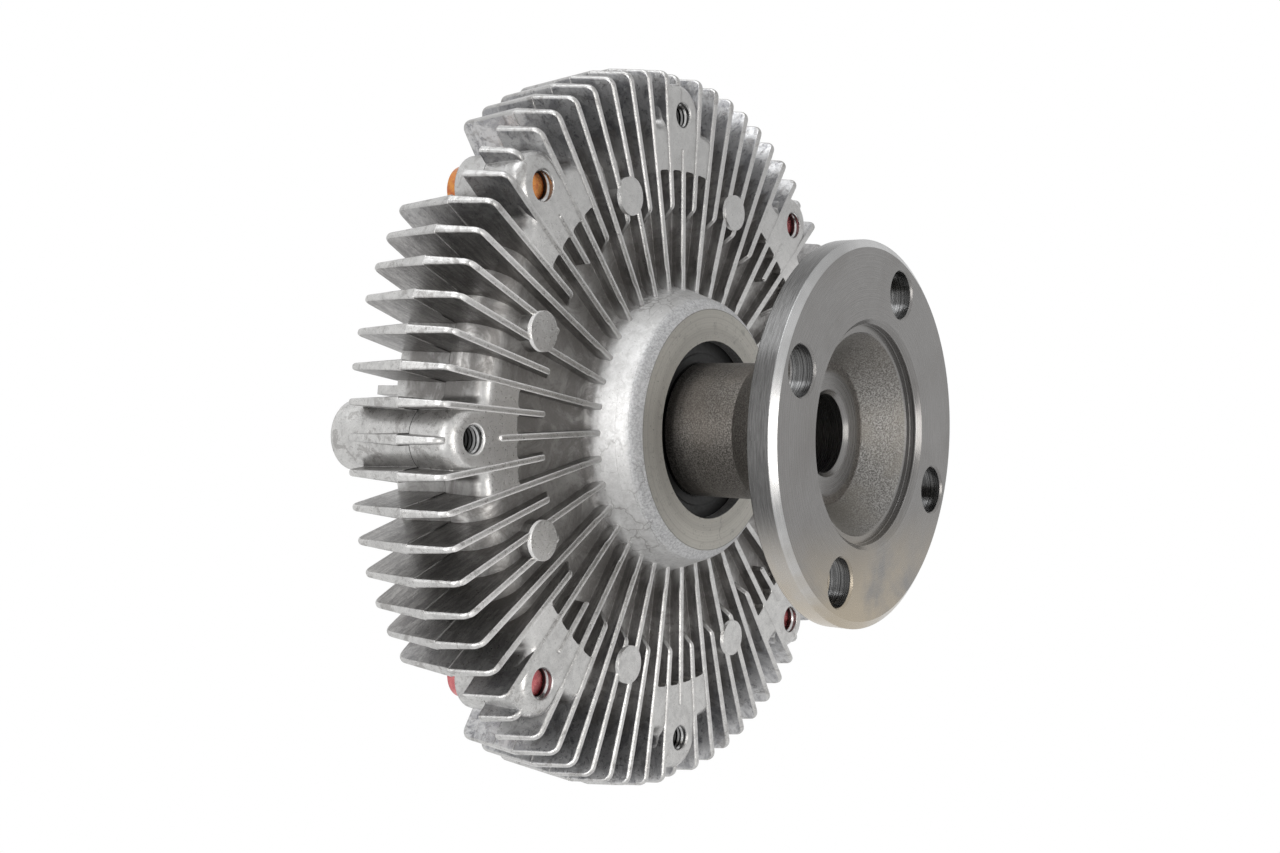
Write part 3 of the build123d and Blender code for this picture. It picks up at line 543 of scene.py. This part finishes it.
class Forging(Graph):
    """The one shaft: turned satin flange, blasted recess and dark forged neck."""

    def __init__(self):
        super().__init__("forged_steel")
        self.radius = self.axis_radius()
        _, self.y, self.z = self.split()
        self.marks = self.turned_marks(FLANGE_PITCH)
        self.haze = self.noise(30, 5, 0.6, distortion=0.5)
        self.brushed = self.noise(1, 3, 0.7, self.streaks(2800, 2800, 9))
        self.speckle = self.noise(2400, 3, 0.7)
        self.cloud = self.noise(60, 4, 0.6)
        hole = self.times(self.ramp(self.y, *HOLE_REAR_Y), self.ramp(self.y, *HOLE_FRONT_Y))
        self.in_hole = self.times(hole, self.times(self.ramp(self.radius, *HOLE_INNER_R),
                                                   self.ramp(self.radius, *HOLE_OUTER_R)))
        recess = self.times(self.ramp(self.y, *RECESS_REAR_Y), self.ramp(self.y, *RECESS_FRONT_Y))
        self.in_recess = self.times(recess, self.ramp(self.radius, *RECESS_ZONE_R))
        neck = self.times(self.ramp(self.y, *NECK_ZONE_Y), self.ramp(self.radius, *NECK_ZONE_R))
        self.on_neck = self.times(neck, self.minus(1.0, self.in_recess))

    def flange_tone(self):
        """Satin face with a rim of painted shade that turns to painted light low down, a painted highlight
        on the bevel, a warmer lighter tone low down and painted shade in the drilled holes.
        """
        tone = self.mix(self.ramp(self.marks, 0.3, 0.7), "satin", "satin light")
        tone = self.mix(self.ramp(self.brushed, 0.42, 0.66, 0.0, 0.25), tone, "satin brushed")
        tone = self.mix(self.ramp(self.haze, 0.42, 0.72, 0.0, 0.6), tone, "satin haze")
        # Painted shade on the outer rim, with painted light on its lower part
        rim = self.mix(self.ramp(self.brushed, 0.35, 0.65), "rim", "rim light")
        rim = self.mix(self.ramp(self.z, *RIM_LIGHT_Z), rim, "rim painted light")
        tone = self.mix(self.times(self.ramp(self.radius, *RIM_ZONE_R), 0.75), tone, rim)
        # Painted highlight along the bevel
        on_bevel = self.times(self.ramp(self.radius, *BEVEL_ZONE_R), self.ramp(self.y, *BEVEL_ZONE_Y))
        bevel_highlight = self.mix(self.ramp(self.haze, 0.4, 0.65), "bevel_highlight", "bevel highlight dull")
        tone = self.mix(self.times(on_bevel, 0.85), tone, bevel_highlight)
        # Warmer, lighter tone low down on the face
        low_warm_tone = self.times(self.ramp(self.z, *LOW_WARM_Z), self.ramp(self.haze, 0.30, 0.60))
        tone = self.mix(self.times(low_warm_tone, 0.8), tone, "low_warm_tone")
        # Painted shade inside the drilled holes, with lighter drilled stripes
        drilled = self.noise(1, 2, 0.6, self.join(self.times(self.y, 3200), 0.0))
        return self.mix(self.in_hole, tone, self.mix(self.ramp(drilled, 0.40, 0.60), "hole", "hole light"))

    def tone(self):
        """The flange, the blasted recess with painted shade on its top and the crusted neck."""
        blasted = self.mix(self.ramp(self.speckle, 0.40, 0.62), "blasted", "blasted light")
        blasted = self.mix(self.ramp(self.cloud, 0.40, 0.70, 0.0, 0.6), blasted, "blasted warm")
        # Painted shade on the top of the recess
        blasted = self.mix(self.ramp(self.z, *RECESS_SHADE_Z, 0.0, 0.35), blasted, "recess painted shade")
        crust = self.mix(self.ramp(self.speckle, 0.38, 0.66), "crust", "crust light")
        crust = self.mix(self.ramp(self.cloud, 0.45, 0.70, 0.0, 0.5), crust, "crust warm")
        tone = self.mix(self.in_recess, self.flange_tone(), blasted)
        return self.mix(self.on_neck, tone, crust)

    def roughness(self):
        """Satin, duller in the recess and on the neck."""
        rough = self.ramp(self.marks, 0.25, 0.75, 0.22, 0.34)
        rough = self.plus(rough, self.times(self.in_recess, 0.20))
        return self.plus(rough, self.times(self.on_neck, 0.20))

    def relief(self):
        """Turning grooves outside the holes, and a coarse grain in the recess and on the neck."""
        rounded = self.round_edges(STEEL_EDGE)
        grooves = self.bump(self.brushed, BRUSH_DEPTH, 0.5, self.bump(self.marks, MARK_DEPTH, 0.6, rounded))
        grooves = self.mix_vectors(self.in_hole, grooves, rounded)
        grain = self.bump(self.speckle, BLAST_DEPTH, 0.7, grooves)
        return self.mix_vectors(self.math("MAXIMUM", self.in_recess, self.on_neck), grooves, grain)


def cast_aluminium():
    g = Casting()
    metallic = g.minus(0.86, g.times(g.on_ring, 0.38))
    return g.finish(Base_Color=g.tone(), Metallic=metallic, Roughness=g.roughness(), Normal=g.relief())


def forged_steel():
    """The shaft's steel, with a shine that is drawn out round the axis."""
    g = Forging()
    around = g.add("ShaderNodeTangent", direction_type="RADIAL", axis="Y").outputs["Tangent"]
    return g.finish(Base_Color=g.tone(), Metallic=0.92, Roughness=g.roughness(), Normal=g.relief(),
                    Tangent=around, Anisotropic=0.35, Anisotropic_Rotation=0.25)


def bearing_steel():
    """Ground races, with painted shade at their rear ends."""
    g = Graph("bearing_steel")
    _, y, _ = g.split()
    grain = g.noise(600, 4, 0.6)
    shade = g.mix(g.ramp(grain, 0.35, 0.7), "ground", "ground dull")
    # Painted shade at the races' rear ends
    shade = g.mix(g.ramp(y, *RACE_SHADE_Y), shade, "race shade")
    return g.finish(Base_Color=shade, Metallic=1.0, Roughness=g.ramp(grain, 0.3, 0.7, 0.16, 0.28),
                    Normal=g.bump(grain, GRAIN_DEPTH, 0.5))


def plain_metal(name, tone, rough):
    """Small metal parts with a faint grain, between a tone and its dull form."""
    g = Graph(name)
    grain = g.noise(600, 4, 0.6)
    shade = g.mix(g.ramp(grain, 0.35, 0.7), tone, f"{tone} dull")
    return g.finish(Base_Color=shade, Metallic=1.0, Roughness=g.ramp(grain, 0.3, 0.7, rough, rough + 0.12),
                    Normal=g.bump(grain, GRAIN_DEPTH, 0.5, g.round_edges(SMALL_EDGE)))


def cut_aluminium():
    """Bright cut threads that fade into painted shade down their holes."""
    g = Graph("cut_aluminium")
    shade = g.mix(g.ramp(g.noise(900, 4, 0.6), 0.35, 0.7), "thread", "thread dull")
    # Painted shade: the threads darken down the holes
    shade = g.mix(g.painted_shade_down_bore(), shade, "thread shade")
    return g.finish(Base_Color=shade, Metallic=1.0, Roughness=0.22, Normal=g.round_edges(THREAD_EDGE))


def rubber():
    g = Graph("black_rubber")
    grain = g.noise(1200, 3, 0.6)
    shade = g.mix(g.ramp(grain, 0.4, 0.7), "rubber", "rubber light")
    return g.finish(Base_Color=shade, Roughness=g.ramp(grain, 0.3, 0.7, 0.45, 0.6),
                    Normal=g.bump(grain, GRAIN_DEPTH, 0.5))


def materials():
    """One material for each of the record's slots, the rosy plating and the cut threads."""
    return {
        "cast_aluminium": cast_aluminium(),
        "forged_steel": forged_steel(),
        "spring_steel": plain_metal("spring_steel", "spring", 0.35),
        "bearing_steel": bearing_steel(),
        "cage_brass": plain_metal("cage_brass", "brass", 0.3),
        "black_rubber": rubber(),
        "plate_steel": plain_metal("plate_steel", "plate", 0.28),
        "yellow_zinc": plain_metal("yellow_zinc", "zinc", 0.22),
        "rosy_zinc": plain_metal("rosy_zinc", "rosy", 0.22),
        "cut_aluminium": cut_aluminium(),
        "bimetal": plain_metal("bimetal", "bimetal", 0.25),
    }


def dress_nodes(finish):
    """Gives every node of the frame its slot's material, and three cover screws the rosy plating."""
    slots = {part["node"]: part["material_slot"] for part in frame["record"]["subparts"]}
    for name, obj in frame["nodes"].items():
        material = finish["rosy_zinc" if name in ROSY_SCREWS else slots[name]]
        if not obj.material_slots:
            obj.data.materials.append(material)
        for slot in obj.material_slots:
            slot.link = "OBJECT"
            slot.material = material


def thread(name, angle, end, wall_r, crest_r, material):
    """Helical ridge on the wall of a boss's tapped hole, from THREAD_START to end along the hole."""
    turns = (end - THREAD_START) / THREAD_PITCH
    count = round(turns * THREAD_STEPS)
    bed_r = wall_r + THREAD_BED
    section = [(bed_r, -THREAD_ROOT), (crest_r, -THREAD_CREST),
               (crest_r, THREAD_CREST), (bed_r, THREAD_ROOT)]
    points = []
    for step in range(count + 1):
        turned = step / THREAD_STEPS
        height = min(1.0, turned / THREAD_RUN_IN, max(turns - turned, 0.0) / THREAD_RUN_IN)
        way = Vector((math.cos(math.tau * turned), 0, math.sin(math.tau * turned)))
        for radius, shift in section:
            out = bed_r - (bed_r - radius) * height
            points.append(way * out + Vector((0, THREAD_START + (turned + shift) * THREAD_PITCH, 0)))
    size = len(section)
    faces = [tuple(range(size)), tuple(size * count + corner for corner in reversed(range(size)))]
    for step in range(count):
        for corner in range(size):
            first = size * step + corner
            second = size * step + (corner + 1) % size
            faces.append((first, first + size, second + size, second))
    mesh = bpy.data.meshes.new(name)
    mesh.from_pydata(points, [], faces)
    boss = BOSS_CIRCLE_R * Vector((math.cos(angle), 0, math.sin(angle)))
    mesh.transform(Matrix.Translation(boss))
    mesh.materials.append(material)
    obj = bpy.data.objects.new(name, mesh)
    bpy.context.collection.objects.link(obj)
    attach(obj, "housing")


def threads(material):
    """Thread of the fan's holes right through, and of the screws' holes above the screws' ends."""
    for number in range(FAN_BOSSES):
        angle = number * FAN_BOSS_STEP
        thread(f"fan_thread_{number + 1}", angle, FAN_THREAD_END, FAN_HOLE_R, FAN_CREST_R, material)
        thread(f"screw_thread_{number + 1}", angle + SCREW_BOSS_SHIFT, SCREW_THREAD_END,
               SCREW_HOLE_R, SCREW_CREST_R, material)


def seen_directly(tree):
    """1 for rays from the camera, a reflection or a pane of glass, and 0 for scattered light."""
    path = tree.nodes.new("ShaderNodeLightPath")
    seen = path.outputs["Is Camera Ray"]
    for kind in ("Is Glossy Ray", "Is Transmission Ray"):
        either = tree.nodes.new("ShaderNodeMath")
        either.operation = "MAXIMUM"
        tree.links.new(seen, either.inputs[0])
        tree.links.new(path.outputs[kind], either.inputs[1])
        seen = either.outputs[0]
    return seen


def white_for_the_eye(name):
    """Matt surface that the camera and reflections see as plain white."""
    material = bpy.data.materials.new(name)
    material.use_nodes = True
    tree = material.node_tree
    tree.nodes.clear()
    matt = tree.nodes.new("ShaderNodeBsdfDiffuse")
    matt.inputs["Color"].default_value = (FLOOR_GREY, FLOOR_GREY, FLOOR_GREY, 1)
    glow = tree.nodes.new("ShaderNodeEmission")
    glow.inputs["Strength"].default_value = 1.0
    mix = tree.nodes.new("ShaderNodeMixShader")
    tree.links.new(seen_directly(tree), mix.inputs[0])
    tree.links.new(matt.outputs[0], mix.inputs[1])
    tree.links.new(glow.outputs[0], mix.inputs[2])
    out = tree.nodes.new("ShaderNodeOutputMaterial")
    tree.links.new(mix.outputs[0], out.inputs["Surface"])
    return material


def stage():
    """White floor below the object."""
    half = FLOOR_SIZE / 2
    corners = [(-half, -half), (half, -half), (half, half), (-half, half)]
    mesh = bpy.data.meshes.new("floor")
    mesh.from_pydata([(x, y, FLOOR_HEIGHT) for x, y in corners], [], [(0, 1, 2, 3)])
    floor = bpy.data.objects.new("floor", mesh)
    bpy.context.collection.objects.link(floor)
    mesh.materials.append(white_for_the_eye("floor_white"))


def world(strength):
    """White to the camera and in reflections, soft grey light for matt surfaces."""
    sky = bpy.data.worlds.new("studio")
    bpy.context.scene.world = sky
    sky.use_nodes = True
    tree = sky.node_tree
    tree.nodes.clear()
    seen = seen_directly(tree)
    ambient = tree.nodes.new("ShaderNodeBackground")
    ambient.inputs["Strength"].default_value = strength
    white = tree.nodes.new("ShaderNodeBackground")
    white.inputs["Color"].default_value = (1, 1, 1, 1)
    white.inputs["Strength"].default_value = 1.0
    mix = tree.nodes.new("ShaderNodeMixShader")
    tree.links.new(seen, mix.inputs[0])
    tree.links.new(ambient.outputs[0], mix.inputs[1])
    tree.links.new(white.outputs[0], mix.inputs[2])
    out = tree.nodes.new("ShaderNodeOutputWorld")
    tree.links.new(mix.outputs[0], out.inputs["Surface"])


def lamp(name, place, width, height, power, tint):
    """Soft rectangular lamp aimed at the object's middle."""
    data = bpy.data.lights.new(name, "AREA")
    data.shape = "RECTANGLE"
    data.size = width
    data.size_y = height
    data.energy = power
    data.color = tint
    obj = bpy.data.objects.new(name, data)
    bpy.context.collection.objects.link(obj)
    obj.location = place
    obj.rotation_euler = (LAMP_AIM - Vector(place)).to_track_quat("-Z", "Y").to_euler()


def camera():
    """Camera of the picture, from its fitted place and angles."""
    back = Vector((
        math.sin(CAMERA_AZIMUTH) * math.cos(CAMERA_ELEVATION),
        -math.cos(CAMERA_AZIMUTH) * math.cos(CAMERA_ELEVATION),
        math.sin(CAMERA_ELEVATION),
    ))
    level_right = Vector((math.cos(CAMERA_AZIMUTH), math.sin(CAMERA_AZIMUTH), 0))
    level_up = level_right.cross(-back)
    right = math.cos(CAMERA_ROLL) * level_right + math.sin(CAMERA_ROLL) * level_up
    up = math.cos(CAMERA_ROLL) * level_up - math.sin(CAMERA_ROLL) * level_right
    data = bpy.data.cameras.new("camera")
    data.sensor_width = SENSOR_WIDTH
    data.lens = CAMERA_LENS
    data.clip_start = NEAR_CLIP
    obj = bpy.data.objects.new("camera", data)
    bpy.context.collection.objects.link(obj)
    turn = Matrix((right, up, back)).transposed().to_4x4()
    obj.matrix_world = Matrix.Translation(CAMERA_PLACE) @ turn
    bpy.context.scene.camera = obj


camera()
stage()
world(AMBIENT)
for lamp_name, settings in LAMPS.items():
    lamp(lamp_name, *settings)
finish = materials()
dress_nodes(finish)
threads(finish["cut_aluminium"])
bpy.context.scene.view_settings.view_transform = "Standard"
